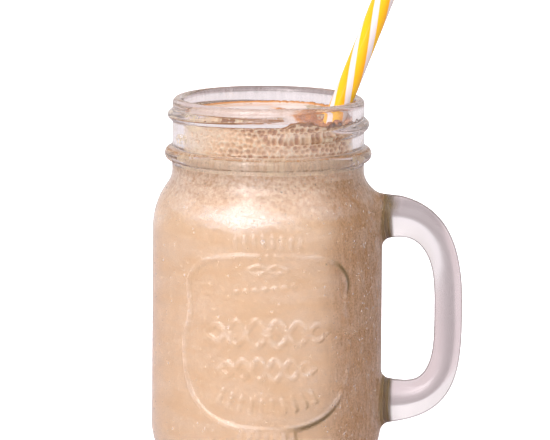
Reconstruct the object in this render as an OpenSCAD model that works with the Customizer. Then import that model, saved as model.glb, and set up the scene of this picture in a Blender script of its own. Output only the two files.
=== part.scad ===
// Milkshake in a handled screw-top glass jar, with a head of froth and a drinking straw.
// Millimetres. The origin is on the jar's axis in the plane it stands on, +Z is up,
// the handle points along +X and the plaque faces -Y.

/* [Jar] */
// Height of the jar from the table to the lip
jar_h = 132; // [110:1:160]
// Outside diameter of the body
body_d = 79.6; // [70:0.2:96]
// Glass thickness of the body
wall = 3.5; // [2.5:0.1:4.5]
// Glass thickness at the middle of the base, over the push-up
floor_t = 4.6; // [3:0.1:8]
// Outside diameter of the neck
neck_d = 66.5; // [56:0.5:72]
// Glass thickness of the neck
neck_wall = 3.95; // [2.5:0.05:5]
// Height of the straight neck, from the top of the shoulder to the lip
neck_h = 25; // [20:1:34]
// Steepest slope of the shoulder away from upright, in degrees
shoulder_slope = 36; // [30:1:50]

/* [Base] */
// Radius of the gentle upper curve of the heel
heel_upper_r = 21.7; // [15:0.1:24]
// Radius of the tight lower curve of the heel
heel_lower_r = 8; // [5:0.5:10]
// Radius of the curve between the inside wall and the inside floor
heel_inner_r = 13; // [8:0.5:18]
// Width of the flat ring that the jar stands on
foot_w = 4; // [2.5:0.5:8]
// Depth of the push-up inside the ring
push_up = 0.8; // [0.4:0.1:2]

/* [Collar and thread] */
// Radius of the round collar under the thread
collar_r = 2.45; // [1.5:0.05:3]
// Distance from the lip down to the middle of the collar
collar_drop = 19.4; // [18:0.1:24]
// How far the collar's centre lies outside the neck
collar_offset = 0.15; // [0:0.05:0.5]
// Distance that the thread descends in one turn
thread_pitch = 6.2; // [5:0.1:7]
// How far the thread stands out from the neck
thread_h = 1.75; // [1:0.05:2.5]
// Width of the thread where it leaves the neck
thread_w = 3.6; // [2.5:0.1:4]
// Turns of the thread
thread_turns = 1.125; // [1:0.005:1.3]
// Distance from the lip down to the thread's start
thread_drop = 4.2; // [3.6:0.1:5]
// Where the thread starts, in degrees to the right of the jar's front
thread_start = 16.5; // [0:0.5:60]

/* [Handle] */
// How far the middle line of the handle stands out from the body
handle_reach = 23.1; // [21:0.1:40]
// Distance from the top of the shoulder down to the middle of the upper arm
handle_drop = 16; // [12:0.5:24]
// Height of the middle of the lower arm where it meets the body
handle_low_z = 26.2; // [24:0.1:40]
// Thickness of the grip, from the finger side to the outside
grip_t = 9.7; // [7:0.1:12]
// Depth of the grip from front to back
grip_w = 13; // [9:0.5:18]
// Thickness of an arm where it meets the body
arm_t = 16.2; // [12:0.1:18]
// Depth of an arm where it meets the body
arm_w = 15; // [10:0.5:20]
// Radius of the fillets beside an arm, where it runs into the body
root_side_r = 4.2; // [2:0.1:5]
// Radius of the fillets above and below an arm, where it runs into the body
root_edge_r = 2.6; // [1:0.1:4]
// Squareness of the handle's upper corner, 2 is round
corner_top = 2.7; // [2.2:0.1:4]
// Squareness of the handle's lower corner, 2 is round
corner_low = 3.3; // [2.2:0.1:4]

/* [Plaque] */
// Half width of the raised frame, measured round the body
plaque_half_w = 31.4; // [20:0.1:34]
// Distance from the start of the heel's curve up to the raised frame
plaque_foot_gap = 3.5; // [2:0.5:20]
// Distance from the start of the shoulder's curve down to the raised frame
plaque_head_gap = 4.8; // [2:0.2:20]
// Height of the raised line above the glass
line_h = 0.7; // [0.4:0.1:1]
// Width of the raised line
line_w = 1.8; // [1.2:0.1:3]

/* [Drink] */
// Distance from the lip down to the surface of the froth
fill_drop = 6; // [5:0.5:12]
// Thickness of the head of froth
froth_t = 17; // [6:0.5:20]
// How far the froth climbs where it touches the glass
climb = 0.9; // [0.4:0.1:1.5]

/* [Straw] */
// Outside diameter of the straw
straw_d = 7.4; // [5:0.1:9]
// Wall thickness of the straw
straw_wall = 0.6; // [0.4:0.1:1]
// Length of the straw
straw_l = 210; // [175:1:250]
// Distance from the jar's axis to the straw's toe, on the side that it leans away from
straw_toe = 19.5; // [8:0.5:22]
// Gap left between the straw and the glass that it rests on
straw_gap = 0.1; // [0.05:0.05:0.3]

/* [Hidden] */
$fn = 96;

body_r = body_d / 2;
neck_r = neck_d / 2;
body_in_r = body_r - wall;
mouth_r = neck_r - neck_wall;
lip_r = neck_wall / 2;
lip_z = jar_h - lip_r;
shoulder_top_z = jar_h - neck_h;
floor_z = push_up + floor_t;
collar_z = jar_h - collar_drop;
fill_z = jar_h - fill_drop;
froth_z = fill_z - froth_t;
arc_n = 10;      // straight steps in each arc of a profile
overlap = 0.6;   // how deep raised details are rooted in the glass
outer_share = 0.25;     // part of the shoulder's step that its inward arc takes, outside
inner_share = 0.1;      // the same, inside
inner_rise = 0.6;       // how much higher the shoulder ends inside than outside

// Points of an arc round a centre, from one angle to another.
function arc(centre, r, from, to) =
    [for (i = [0 : arc_n]) let (a = from + (to - from) * i / arc_n) centre + r * [cos(a), sin(a)]];

// Keeps the sign of a value and raises its size to a power.
function signed_pow(v, p) = sign(v) * pow(abs(v), p);

// Rises smoothly from 0 to 1 as v goes from 0 to 1.
function ease(v) = let (c = min(1, max(0, v))) c * c * (3 - 2 * c);

// ---- profiles, as [radius, height] ----

// A shoulder from a wide radius up to a narrow one: an outward arc and then an inward arc.
// The share is the part of the step that the upper, inward arc takes.
function shoulder_radii(wide, narrow) = (wide - narrow) / (1 - cos(shoulder_slope));
function shoulder_low_z(wide, narrow, top_z) =
    top_z - shoulder_radii(wide, narrow) * sin(shoulder_slope);
function shoulder(wide, narrow, top_z, share) =
    let (
        upper = shoulder_radii(wide, narrow) * share,
        lower = shoulder_radii(wide, narrow) - upper,
        low_z = shoulder_low_z(wide, narrow, top_z)
    )
    concat(
        arc([wide - lower, low_z], lower, 0, shoulder_slope),
        arc([narrow + upper, top_z], upper, 180 + shoulder_slope, 180)
    );

// The heel's two arcs meet where the surface has turned by this angle.
heel_turn = 50;
heel_z = heel_upper_r * sin(heel_turn) + heel_lower_r * (1 - sin(heel_turn));
heel_lower_x = body_r - (heel_upper_r - heel_lower_r) * (1 - cos(heel_turn)) - heel_lower_r;

function outside() = concat(
    [[0, push_up], [heel_lower_x - foot_w - push_up, push_up], [heel_lower_x - foot_w, 0]],
    arc([heel_lower_x, heel_lower_r], heel_lower_r, 270, 360 - heel_turn),
    arc([body_r - heel_upper_r, heel_z], heel_upper_r, 360 - heel_turn, 360),
    shoulder(body_r, neck_r, shoulder_top_z, outer_share),
    arc([neck_r + collar_offset, collar_z], collar_r, -90, 90),
    arc([neck_r - lip_r, lip_z], lip_r, 0, 90)
);

// The inside from the floor up to a given height in the neck.
// It turns more sharply below the neck than the outside does.
function inside(top_z) = concat(
    [[0, floor_z]],
    arc([body_in_r - heel_inner_r, floor_z + heel_inner_r], heel_inner_r, 270, 360),
    shoulder(body_in_r, mouth_r, shoulder_top_z + inner_rise, inner_share),
    [[mouth_r, top_z]]
);

function reversed(list) = [for (i = [len(list) - 1 : -1 : 0]) list[i]];

// ---- swept details ----

// Middle of a ring of points.
function middle(ring) = [for (p = ring) 1] * ring / len(ring);

// Closed skin round a row of rings that have the same number of points.
// An open row gets a fan of triangles at each end, a looped one joins its last ring to its first.
module skin(rings, looped) {
    count = len(rings);
    side = len(rings[0]);
    last = looped ? count - 1 : count - 2;
    tips = looped ? [] : [middle(rings[0]), middle(rings[count - 1])];
    points = concat([for (ring = rings) each ring], tips);
    walls = [for (i = [0 : last], j = [0 : side - 1])
        let (a = i * side, b = ((i + 1) % count) * side, k = (j + 1) % side)
        each [[a + j, b + j, b + k], [a + j, b + k, a + k]]];
    fans = looped ? [] : [for (j = [0 : side - 1])
        let (k = (j + 1) % side, far = (count - 1) * side)
        each [[j, k, count * side], [far + k, far + j, count * side + 1]]];
    polyhedron(points, concat(walls, fans), convexity = 10);
}

// A low rounded ridge's section: distance out from the glass and distance across.
function ridge(h, w) = [for (i = [0 : 6]) let (a = -90 + 30 * i)
    [-overlap + (h + overlap) * cos(a), w / 2 * sin(a)]];

// The thread's height fades into the neck, sharply at its start and slowly at its run-out.
thread_steps = 54;
thread_fade = 0.06;
thread_run_out = 0.22;
function thread_rise(f) =
    (thread_h + overlap / 2) * ease(min(f / thread_fade, (1 - f) / thread_run_out)) - overlap / 2;

function thread_ring(f) =
    let (
        turn = -90 + thread_start - 360 * thread_turns * f,
        z = jar_h - thread_drop - thread_pitch * thread_turns * f
    )
    [for (p = ridge(thread_rise(f), thread_w))
        [(neck_r + p.x) * cos(turn), (neck_r + p.x) * sin(turn), z + p.y]];

// The plaque's outline is a rounded square with a round foot and a narrower waist.
// It fills the upright part of the body between the heel and the shoulder.
plaque_low_z = heel_z + plaque_foot_gap;
plaque_top_z = shoulder_low_z(body_r, neck_r, shoulder_top_z) - plaque_head_gap;
plaque_z = (plaque_low_z + plaque_top_z) / 2;
plaque_half_h = (plaque_top_z - plaque_low_z) / 2;
plaque_steps = 72;
foot_power = 0.78;
head_power = 0.5;
waist = 0.08;
waist_up = 0.35;        // height of the waist, as a share of the plaque's half height
waist_sharp = 220;
function plaque_point(t) =
    let (
        power = sin(t) < 0 ? foot_power : head_power,
        up = signed_pow(sin(t), power),
        pinch = 1 - waist * pow(cos(min(90, abs(up - waist_up) * waist_sharp)), 2)
    )
    [plaque_half_w * signed_pow(cos(t), power) * pinch, plaque_z + plaque_half_h * up];

function plaque_ring(i) =
    let (
        t = 360 * i / plaque_steps,
        ahead = plaque_point(t + 1) - plaque_point(t - 1),
        across = [-ahead.y, ahead.x] / norm(ahead),
        middle = plaque_point(t)
    )
    [for (p = ridge(line_h, line_w))
        let (flat = middle + across * p.y, a = -90 + flat.x / body_r * 180 / PI)
        [(body_r + p.x) * cos(a), (body_r + p.x) * sin(a), flat.y]];

// The handle's middle line is half a rounded rectangle, drawn round its own centre.
handle_steps = 36;
handle_side = 20;
section_power = 0.85;   // below 1 the handle's section is squarer than an ellipse
handle_top_z = shoulder_top_z - handle_drop;
handle_z = (handle_top_z + handle_low_z) / 2;
handle_half = (handle_top_z - handle_low_z) / 2;
function handle_line(a) =
    let (
        n = a > 0 ? corner_top : corner_low,
        far = pow(pow(abs(cos(a)) / handle_reach, n) + pow(abs(sin(a)) / handle_half, n), -1 / n)
    )
    [body_r + far * cos(a), handle_z + far * sin(a)];

// Thin at the grip, thicker towards the body: 0 up to the grip's end and 1 at a right angle to it.
grip_end = 30;
function swell(a) = pow(max(0, abs(a) - grip_end) / (90 - grip_end), 1.8);

// How far towards the fingers and across each point of the handle's section lies, for a swell,
// with the fillets' extra size along the edges and the sides.
function handle_section(spread, edge = 0, side = 0) =
    let (
        half_t = (grip_t + (arm_t - grip_t) * spread) / 2 + edge,
        half_w = (grip_w + (arm_w - grip_w) * spread) / 2 + side
    )
    [for (j = [0 : handle_side - 1]) let (s = 360 * j / handle_side)
        [half_t * signed_pow(cos(s), section_power), half_w * signed_pow(sin(s), section_power)]];

// One ring of the handle at an angle round its centre.
function handle_ring(a) =
    let (
        centre = handle_line(a),
        along = handle_line(a - 0.5) - handle_line(a + 0.5),
        inward = [along.y, -along.x] / norm(along)
    )
    [for (p = handle_section(swell(a)))
        [centre.x + inward.x * p.x, p.y, centre.y + inward.y * p.x]];

// Outside radius of the glass at a height on the body or the shoulder.
upright = concat(
    [[0, body_r]],
    [for (p = shoulder(body_r, neck_r, shoulder_top_z, outer_share)) [p.y, p.x]]
);

// How far a round fillet stands out at a gap from the wall that it runs into.
function fillet(gap, r) = r - sqrt(pow(r, 2) - pow(max(0, r - max(0, gap)), 2));

// A ring at the root of an arm. It follows the wall at a gap, or inside the glass if below 0.
// The fingers' side is down (-1) on the upper arm and up (1) on the lower one. A share below 1
// shrinks the ring, for the one in the glass that closes the root.
function root_ring(z, fingers, gap, share = 1) =
    let (spread = swell(atan2(handle_half, max(0, gap))))
    [for (p = share * handle_section(spread, fillet(gap, root_edge_r), fillet(gap, root_side_r)))
        let (level = z + fingers * p.x)
        [sqrt(pow(lookup(level, upright), 2) - pow(p.y, 2)) + gap, p.y, level]];

root_gaps = [-wall / 4, 0.15, 0.6, 1.4, 2.6, 4.4];
closing_share = 0.5;
line_gap = 1.2;   // from the last root ring to the first ring across the middle line
line_end = atan2(handle_half, root_gaps[len(root_gaps) - 1] + line_gap);

function handle_rings() = concat(
    [root_ring(handle_top_z, -1, root_gaps[0], closing_share)],
    [for (gap = root_gaps) root_ring(handle_top_z, -1, gap)],
    [for (i = [0 : handle_steps]) handle_ring(line_end * (1 - 2 * i / handle_steps))],
    [for (gap = reversed(root_gaps)) root_ring(handle_low_z, 1, gap)],
    [root_ring(handle_low_z, 1, root_gaps[0], closing_share)]
);

// ---- straw ----

// The straw's toe is on the floor, and its lower side just clears the round of the lip.
toe = [-straw_toe, floor_z + straw_gap];
toe_to_lip = [neck_r - lip_r, lip_z] - toe;
straw_lean = atan2(toe_to_lip.x, toe_to_lip.y) - asin((lip_r + straw_gap) / norm(toe_to_lip));
straw_foot = toe + straw_d / 2 * [-cos(straw_lean), sin(straw_lean)];

module on_straw_axis() {
    translate([straw_foot.x, 0, straw_foot.y])
        rotate([0, straw_lean, 0])
            children();
}

module straw_outside() {
    on_straw_axis()
        cylinder(d = straw_d, h = straw_l);
}

// The drink that stands inside the straw, from just under its open end to the froth's level.
module drink_in_straw() {
    intersection() {
        on_straw_axis()
            translate([0, 0, -overlap / 2])
                cylinder(d = straw_d - 2 * straw_wall, h = jar_h);
        translate([-body_r, -body_r, 0])
            cube([body_d, body_d, fill_z]);
    }
}

// ---- nodes ----

module jar() {
    color([0.86, 0.9, 0.92, 0.35])
        union() {
            rotate_extrude()
                polygon(concat(outside(), arc([neck_r - lip_r, lip_z], lip_r, 90, 180),
                    reversed(inside(lip_z))));
            skin(handle_rings(), false);
            skin([for (i = [0 : thread_steps]) thread_ring(i / thread_steps)], false);
            skin([for (i = [0 : plaque_steps - 1]) plaque_ring(i)], true);
        }
}

// What fills the jar between two heights.
module filling(low_z, high_z) {
    intersection() {
        rotate_extrude()
            polygon(concat(inside(lip_z), [[0, lip_z]]));
        translate([0, 0, low_z])
            cylinder(r = body_r, h = high_z - low_z);
    }
}

module milkshake() {
    color([0.92, 0.76, 0.65])
        union() {
            difference() {
                filling(0, froth_z);
                straw_outside();
            }
            drink_in_straw();
        }
}

module froth() {
    color([0.86, 0.7, 0.56])
        difference() {
            union() {
                filling(froth_z, fill_z);
                rotate_extrude()
                    polygon(concat([[mouth_r - climb, fill_z - climb]], [[mouth_r, fill_z - climb]],
                        arc([mouth_r - climb, fill_z + climb], climb, 0, -90)));
            }
            straw_outside();
        }
}

module straw() {
    color([0.99, 0.82, 0.1])
        on_straw_axis()
            difference() {
                cylinder(d = straw_d, h = straw_l);
                translate([0, 0, -1])
                    cylinder(d = straw_d - 2 * straw_wall, h = straw_l + 2);
            }
}

jar();
milkshake();
froth();
straw();
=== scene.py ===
# %% [markdown]
# # A milkshake in a handled glass jar
# The object is four things: a jar of pressed glass with a handle, the milk drink in it, a head of
# froth, and a striped plastic straw that leans on the lip. The engineering model gives their
# sizes and places. This script dresses it: each cell says what a piece is on the real object and
# how it could be made, and then makes it.

# %% Load the fixed frame
import math

import bmesh
import bpy
import numpy as np
from mathutils import Matrix, Vector


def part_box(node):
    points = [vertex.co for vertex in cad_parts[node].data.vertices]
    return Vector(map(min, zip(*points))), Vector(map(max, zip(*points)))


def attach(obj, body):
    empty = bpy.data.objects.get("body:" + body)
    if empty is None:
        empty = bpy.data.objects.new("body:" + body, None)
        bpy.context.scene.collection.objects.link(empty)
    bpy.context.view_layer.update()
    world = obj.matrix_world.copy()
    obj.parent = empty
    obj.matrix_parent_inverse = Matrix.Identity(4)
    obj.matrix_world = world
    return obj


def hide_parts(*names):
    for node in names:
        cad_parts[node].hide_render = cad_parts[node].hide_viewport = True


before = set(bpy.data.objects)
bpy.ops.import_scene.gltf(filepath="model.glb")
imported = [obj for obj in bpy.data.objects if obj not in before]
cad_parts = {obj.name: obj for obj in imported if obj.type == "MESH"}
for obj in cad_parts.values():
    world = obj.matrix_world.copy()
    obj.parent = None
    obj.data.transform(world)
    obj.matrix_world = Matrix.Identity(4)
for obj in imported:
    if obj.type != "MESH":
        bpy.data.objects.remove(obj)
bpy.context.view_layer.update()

# %% [markdown]
# ## Sizes
# The overall sizes come from the frame, so the looks follow the engineering model. The rest are
# the glassmaker's own, in millimetres, as the model's source gives them. They turn to metres
# once, where a mesh is made.

# %% Sizes from the frame
MM = 0.001
jar_low, jar_high = [np.array(corner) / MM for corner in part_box("jar")]
froth_low, froth_high = [np.array(corner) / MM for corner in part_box("froth")]

jar_h = jar_high[2]
body_r = -jar_low[0]
mouth_r = froth_high[0]
froth_z = froth_low[2]
climb = 0.9
fill_z = froth_high[2] - climb

neck_wall = 3.95
neck_r = mouth_r + neck_wall
wall = 3.5
body_in_r = body_r - wall
floor_z = 5.4
push_up = 0.8
neck_h = 25.0
shoulder_top = jar_h - neck_h
shoulder_slope = 36.0
print(f"jar {jar_h:.1f} tall, body radius {body_r:.1f}, mouth radius {mouth_r:.1f}, filled to {fill_z:.1f}")

# %% [markdown]
# ## Helpers
# Every new piece is a grid of points worked out with numpy. These helpers join the points with
# faces, close the ends, turn an outline round the jar's axis, and build the Blender mesh.

# %% Grids, turned surfaces and meshes
def grid_faces(rows, columns, start=0):
    """Four-sided faces of a grid whose last column meets its first."""
    row, column = np.meshgrid(np.arange(rows - 1), np.arange(columns), indexing="ij")
    near, far = row * columns + start, (row + 1) * columns + start
    beside = (column + 1) % columns
    return np.stack([near + column, near + beside, far + beside, far + column], -1).reshape(-1, 4)


def fan_faces(ring_start, columns, tip, opens=True):
    """Triangles from a tip to a ring; opens is True where the grid goes on from the tip."""
    here = np.arange(columns)
    beside = (here + 1) % columns
    first, second = (beside, here) if opens else (here, beside)
    return np.stack([np.full(columns, tip), ring_start + first, ring_start + second], -1)


def closed_skin(rings, tips):
    """Points and faces over a row of rings, with a fan from each end ring to its own tip."""
    rows, columns = rings.shape[:2]
    count = rows * columns
    return np.vstack([rings.reshape(-1, 3), tips]), [
        grid_faces(rows, columns),
        fan_faces(0, columns, count),
        fan_faces(count - columns, columns, count + 1, opens=False),
    ]


def full_turn(count):
    """Angles in radians, evenly spaced round a circle."""
    return np.linspace(0, 2 * np.pi, count, endpoint=False)


def turned_rings(radius, height, angles):
    """Point = (radius cos angle, radius sin angle, height): an outline turned round the Z axis.
    Each ring has a row, which may differ by angle."""
    whole = (len(height), len(angles))
    radius, height = [np.broadcast_to(np.reshape(v, (len(v), -1)), whole) for v in (radius, height)]
    return np.stack([radius * np.cos(angles), radius * np.sin(angles), height], -1)


def turned(radius, height, angles):
    """A turned outline whose first and last rows become tips on the axis."""
    rings = turned_rings(radius, height, angles)
    return closed_skin(rings[1:-1], rings[[0, -1], 0])


def make_piece(name, points, faces, material=None):
    """A smooth mesh object from points in millimetres and arrays of faces with 3 or 4 corners."""
    sizes = np.concatenate([np.full(len(part), part.shape[1]) for part in faces])
    corners = np.concatenate([part.ravel() for part in faces])
    mesh = bpy.data.meshes.new(name)
    mesh.vertices.add(len(points))
    mesh.vertices.foreach_set("co", (np.asarray(points) * MM).astype(np.float32).ravel())
    mesh.loops.add(len(corners))
    mesh.loops.foreach_set("vertex_index", corners.astype(np.int32))
    mesh.polygons.add(len(sizes))
    mesh.polygons.foreach_set("loop_start", (np.cumsum(sizes) - sizes).astype(np.int32))
    mesh.update(calc_edges=True)
    mesh.validate()
    mesh.shade_smooth()
    piece = bpy.data.objects.new(name, mesh)
    bpy.context.scene.collection.objects.link(piece)
    if material:
        mesh.materials.append(material)
    print(f"{name}: {len(mesh.vertices)} points, {int(np.sum(sizes - 2))} triangles")
    return piece


def paint(piece, name, values):
    """Stores one number for each point, which a material reads as an attribute."""
    layer = piece.data.attributes.new(name, "FLOAT", "POINT")
    layer.data.foreach_set("value", np.asarray(values, np.float32).ravel())


def smooth_step(low, high, value):
    """0 at low, 1 at high, and an S curve between them; low may be the larger."""
    share = np.clip((value - low) / (high - low), 0, 1)
    return share * share * (3 - 2 * share)


def bell(value, middle, width):
    """1 in the middle, falling as e to the minus square of the distance over the width."""
    return np.exp(-(((value - middle) / width) ** 2))

# %% [markdown]
# ## Material helpers
# Colours are the hex values a designer would pick, turned to linear light here. One function
# adds a node with its inputs and links; the others name what is done often.

# %% Colours and nodes
def colour(code):
    """Linear red, green, blue and alpha of an sRGB hex colour."""
    srgb = np.array([int(code[i:i + 2], 16) for i in (1, 3, 5)]) / 255
    linear = np.where(srgb <= 0.04045, srgb / 12.92, ((srgb + 0.055) / 1.055) ** 2.4)
    return (*linear.tolist(), 1.0)


def new_material(name):
    """An empty node material and its tree, with only the output node."""
    material = bpy.data.materials.new(name)
    material.use_nodes = True
    tree = material.node_tree
    tree.nodes.clear()
    tree.nodes.new("ShaderNodeOutputMaterial")
    return material, tree


def add(tree, kind, settings=None, **inputs):
    """Adds a node. Settings are its own properties; an input is a value, a hex colour or a socket.
    A double underscore in an input's name stands for a space, and a number picks it by place."""
    node = tree.nodes.new("ShaderNode" + kind)
    for key, value in (settings or {}).items():
        setattr(node, key, value)
    for key, value in inputs.items():
        spot = int(key[1:]) if key[0] == "i" and key[1:].isdigit() else key.replace("__", " ")
        if isinstance(value, bpy.types.NodeSocket):
            tree.links.new(value, node.inputs[spot])
        else:
            node.inputs[spot].default_value = colour(value) if isinstance(value, str) else value
    return node


def ramp(tree, value, stops):
    """A colour ramp through the given (position, colour) stops."""
    node = add(tree, "ValToRGB", Fac=value)
    stripe = node.color_ramp
    while len(stripe.elements) < len(stops):
        stripe.elements.new(0.5)
    for element, (position, shade) in zip(stripe.elements, stops):
        element.position = position
        element.color = colour(shade)
    return node.outputs["Color"]


def reckon(tree, operation, first, second, third=0.0):
    """One step of arithmetic on sockets or numbers."""
    return add(tree, "Math", {"operation": operation}, i0=first, i1=second, i2=third).outputs[0]


def scaled(tree, value, low, high, at_low=0.0, at_high=1.0, smooth=True):
    """Maps a value from low..high to at_low..at_high, by an S curve or a straight line."""
    shape = {"interpolation_type": "SMOOTHSTEP" if smooth else "LINEAR"}
    node = add(tree, "MapRange", shape, Value=value, i1=low, i2=high, i3=at_low, i4=at_high)
    return node.outputs["Result"]


def noise(tree, where, scale, detail, rough=0.5):
    """Cloudy noise between 0 and 1, with a number of finer layers."""
    return add(tree, "TexNoise", Vector=where, Scale=scale, Detail=detail, Roughness=rough).outputs[0]


def painted(tree, name):
    """The number that a piece holds for each point under a name."""
    return add(tree, "Attribute", {"attribute_name": name}).outputs["Fac"]


def show(tree, shader):
    """Joins a shader to the material's output."""
    tree.links.new(shader, tree.nodes["Material Output"].inputs["Surface"])


def show_skin(tree, base, roughness, refraction, **more):
    """Makes a principled surface of the given colour and shows it."""
    skin = add(tree, "BsdfPrincipled", Base__Color=base, Roughness=roughness, IOR=refraction, **more)
    show(tree, skin.outputs[0])

# %% [markdown]
# ## The jar's outline
# Pressed glass is a surface of revolution: a heel with two curves, an upright body, a soft
# shoulder, a neck with a collar, a round lip, and the inside, where the turn under the neck is
# sharper. A spin of a drawn curve would do, but an outline made of arcs stays exact, and its
# rows can be close together where relief has to show.

# %% Outline, from the middle of the base round to the middle of the floor
def arc(centre, radius, start, end, count):
    """Points on a circle round a centre, from one angle in degrees to another."""
    angle = np.radians(np.linspace(start, end, count))
    return np.stack([centre[0] + radius * np.cos(angle), centre[1] + radius * np.sin(angle)], 1)


def joined(*parts):
    """One outline from several, without the double points where they meet."""
    line = np.vstack(parts)
    keep = np.append(True, np.linalg.norm(np.diff(line, axis=0), axis=1) > 1e-6)
    return line[keep]


def shoulder(wide, narrow, top, share, count):
    """Two arcs of the same slope: outwards from the wide radius, then inwards to the narrow one."""
    slope = math.radians(shoulder_slope)
    both = (wide - narrow) / (1 - math.cos(slope))
    upper, lower = both * share, both * (1 - share)
    low = top - both * math.sin(slope)
    return joined(
        arc((wide - lower, low), lower, 0, shoulder_slope, count),
        arc((narrow + upper, top), upper, 180 + shoulder_slope, 180, count),
    )


heel_upper_r, heel_lower_r, heel_turn, foot_w = 21.7, 8.0, 50.0, 4.0
heel_sin, heel_cos = math.sin(math.radians(heel_turn)), math.cos(math.radians(heel_turn))
heel_z = heel_upper_r * heel_sin + heel_lower_r * (1 - heel_sin)
heel_x = body_r - (heel_upper_r - heel_lower_r) * (1 - heel_cos) - heel_lower_r
lip_r = neck_wall / 2
lip_z = jar_h - lip_r
collar_r, collar_z = 2.45, jar_h - 19.4
heel_in_r = 13.0

outer_share, inner_share, inner_rise = 0.25, 0.1, 0.6
outer_shoulder = shoulder(body_r, neck_r, shoulder_top, outer_share, 22)
inner_shoulder = shoulder(body_in_r, mouth_r, shoulder_top + inner_rise, inner_share, 12)
body_rows, neck_rows, collar_offset = 118, 54, 0.15

outside = joined(
    np.linspace((0, push_up), (heel_x - foot_w - push_up, push_up), 5),
    np.linspace((heel_x - foot_w, 0), (heel_x, 0), 3),
    arc((heel_x, heel_lower_r), heel_lower_r, 270, 360 - heel_turn, 8),
    arc((body_r - heel_upper_r, heel_z), heel_upper_r, 360 - heel_turn, 360, 20),
    np.linspace((body_r, heel_z), outer_shoulder[0], body_rows),
    outer_shoulder,
    np.linspace((neck_r, shoulder_top), (neck_r, collar_z - collar_r), 3),
    arc((neck_r + collar_offset, collar_z), collar_r, -90, 90, 24),
    np.linspace((neck_r, collar_z + collar_r + 0.1), (neck_r, lip_z), neck_rows),
    arc((neck_r - lip_r, lip_z), lip_r, 0, 90, 8),
)
inside_up = joined(
    np.linspace((0, floor_z), (body_in_r - heel_in_r, floor_z), 5),
    arc((body_in_r - heel_in_r, floor_z + heel_in_r), heel_in_r, 270, 360, 12),
    np.linspace((body_in_r, floor_z + heel_in_r), inner_shoulder[0], 10),
    inner_shoulder,
    np.linspace((mouth_r, shoulder_top + inner_rise), (mouth_r, lip_z), 14),
)
outline = joined(outside, arc((neck_r - lip_r, lip_z), lip_r, 90, 180, 8), inside_up[::-1])
print(f"outline: {len(outline)} rows, {len(outside)} of them on the outside")

# %% [markdown]
# ## Relief on the glass
# The screw thread, the plaque's frame and its ornament are part of the same pressing, so they are
# relief: a height added to the outside radius at each point. The thread is a rounded ridge that
# winds down. The plaque carries braids, a loop and rows of bars, each a curve. Booleans could
# engrave them, but a height that falls with the distance from a curve is as soft as a mould's.

# %% Relief heights
FRONT = -90.0
thread_pitch, thread_h, thread_half_w, thread_turns = 6.2, 1.75, 2.15, 1.125
thread_start, thread_drop, thread_fade, thread_run_out = 16.5, 4.2, 0.025, 0.22
thread_round = 1.2


def thread_relief(angle, z):
    """A ridge whose middle drops by the pitch in each turn, and which fades in and out."""
    height = np.zeros(np.broadcast(angle, z).shape)
    first = np.mod(FRONT + thread_start - np.degrees(angle), 360) / 360
    for lap in (0, 1):
        turn = first + lap
        share = turn / thread_turns
        ends = np.minimum(share / thread_fade, (1 - share) / thread_run_out)
        rise = thread_h * smooth_step(0, 1, ends)
        across = (z - (jar_h - thread_drop - thread_pitch * turn)) / thread_half_w
        height = np.maximum(height, rise * np.clip(1 - across**2, 0, 1) ** thread_round)
    return height


plaque_half_w, waist, relief_h = 31.4, 0.08, 0.65
waist_up, waist_sharp = 0.35, 220
foot_power, head_power = 0.78, 0.5
plaque_low, plaque_top = heel_z + 3.5, outer_shoulder[0][1] - 4.8
plaque_z, plaque_half_h = (plaque_low + plaque_top) / 2, (plaque_top - plaque_low) / 2


def plaque_outline():
    """A rounded square, rounder at the foot, that a smooth dip narrows at its waist."""
    t = np.linspace(0, 2 * np.pi, 721)
    power = np.where(np.sin(t) < 0, foot_power, head_power)
    up = np.sign(np.sin(t)) * np.abs(np.sin(t)) ** power
    reach = np.radians(np.minimum(90, np.abs(up - waist_up) * waist_sharp))
    across = plaque_half_w * np.sign(np.cos(t)) * np.abs(np.cos(t)) ** power
    return np.stack([across * (1 - waist * np.cos(reach) ** 2), plaque_z + plaque_half_h * up], 1)


def wave(centre_z, half_w, height, count, flip):
    """One strand of a braid: a sine that dies away at both ends; its twin is the same, flipped."""
    t = np.linspace(-1, 1, 60 * count)
    fade = np.cos(np.pi * t / 2) ** 0.4
    swing = flip * height * np.sin(np.pi * count * (t + 1)) * fade
    return np.stack([half_w * t, centre_z + swing], 1)


def stroke(x, z, tilt, length):
    """A short straight bar whose middle is at (x, z), at a tilt in radians."""
    t = np.linspace(-0.5, 0.5, 12)
    return np.stack([x + length * t * np.cos(tilt), z + length * t * np.sin(tilt)], 1)


def bars(centre_z, radius, reach, count, length):
    """Bars along an arc, each square to it; a negative radius bends the arc upwards."""
    for turn in np.linspace(-reach, reach, count):
        tilt = np.pi / 2 - turn
        yield stroke(radius * np.sin(turn), centre_z + radius * (np.cos(turn) - 1), tilt, length)


def ornament():
    """Curves of the raised ornament, each with half the width of its line, all in millimetres."""
    curves = [(plaque_outline(), 1.1)]
    for flip in (-1, 1):
        curves.append((wave(plaque_z + 3.5, 22, 4.6, 3, flip), 0.95))
        curves.append((wave(plaque_z - 9, 17, 3.6, 3, flip), 0.9))
        curves.append((wave(plaque_top - 4.5, 7, 1.5, 1, flip), 0.6))
    for x in np.linspace(-14, 14, 3):
        curves.append((stroke(x, plaque_z + 3.5, 0, 2.4), 1.0))
    for x in np.linspace(-11, 9, 7):
        curves.append((stroke(x, plaque_top - 11 + 0.12 * x, 0.3, 1.3), 0.65))
    curves += [(bar, 0.85) for bar in bars(plaque_low + 8, -38, 0.44, 10, 4.2)]
    curves += [(bar, 0.8) for bar in bars(plaque_top + 5.2, 70, 0.16, 8, 3.2)]
    curves += [(bar, 0.8) for bar in bars(plaque_low - 2.6, -70, 0.13, 7, 2.6)]
    return curves


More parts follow.
